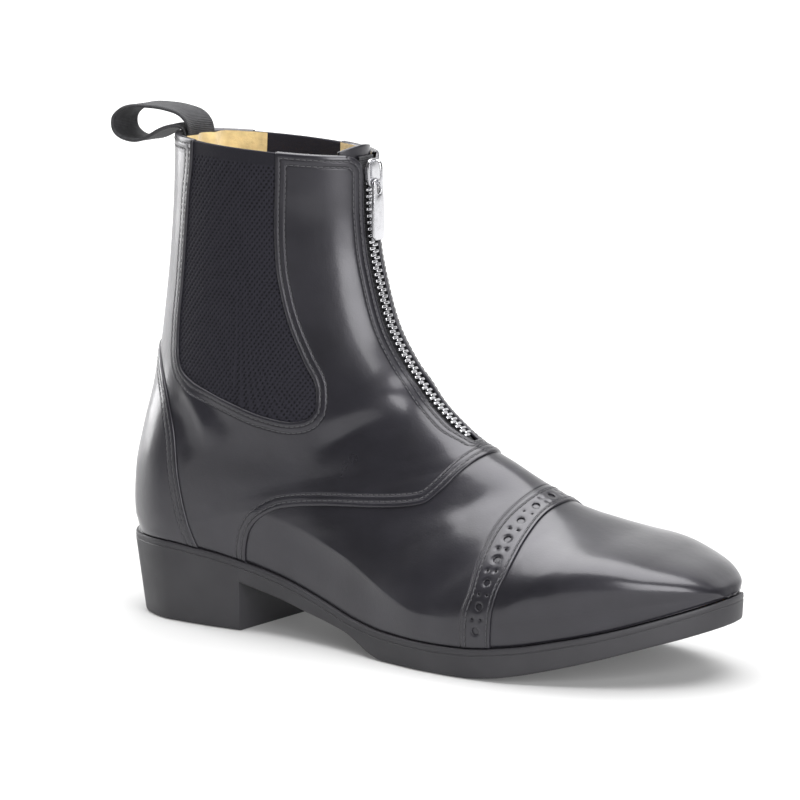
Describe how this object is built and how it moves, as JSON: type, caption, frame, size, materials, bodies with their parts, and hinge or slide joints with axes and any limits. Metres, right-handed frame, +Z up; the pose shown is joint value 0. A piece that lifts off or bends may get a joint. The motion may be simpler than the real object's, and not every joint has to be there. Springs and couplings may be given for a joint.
{
  "type": "paddock boot",
  "caption": "Ankle-high right paddock boot with a front zip, elastic side gores, a toe cap, a rear pull loop and a low heel.",
  "frame": {"origin": "centre of the flat underside of the heel, on the floor and in the plane of the zip and back seam", "axes": "+X towards the toe, +Y towards the inner side of the foot, +Z up out of the collar"},
  "size_m": [0.2944, 0.0971, 0.2172],
  "materials": {
    "outsole_rubber": "satin black moulded rubber",
    "lining_suede": "tan suede lining",
    "black_leather": "polished smooth black leather",
    "black_elastic": "black knitted elastic",
    "black_webbing": "woven black tape",
    "bright_metal": "bright plated metal"
  },
  "bodies": {
    "boot": {"outsole": "outsole_rubber", "insole": "lining_suede", "upper": "black_leather", "gore_outer": "black_elastic", "gore_inner": "black_elastic", "zip_guard": "black_leather", "zip_tape": "black_webbing", "zip_teeth": "bright_metal", "zip_slider": "bright_metal", "pull_loop": "black_webbing"},
    "pull": {"zip_pull": "bright_metal"}
  },
  "joints": [
    {"name": "pull_hinge", "type": "hinge", "parent": "boot", "child": "pull", "pos_m": [0.08676, 0, 0.19], "axis": [0, -1, 0], "range_deg": [0, 135]}
  ]
}
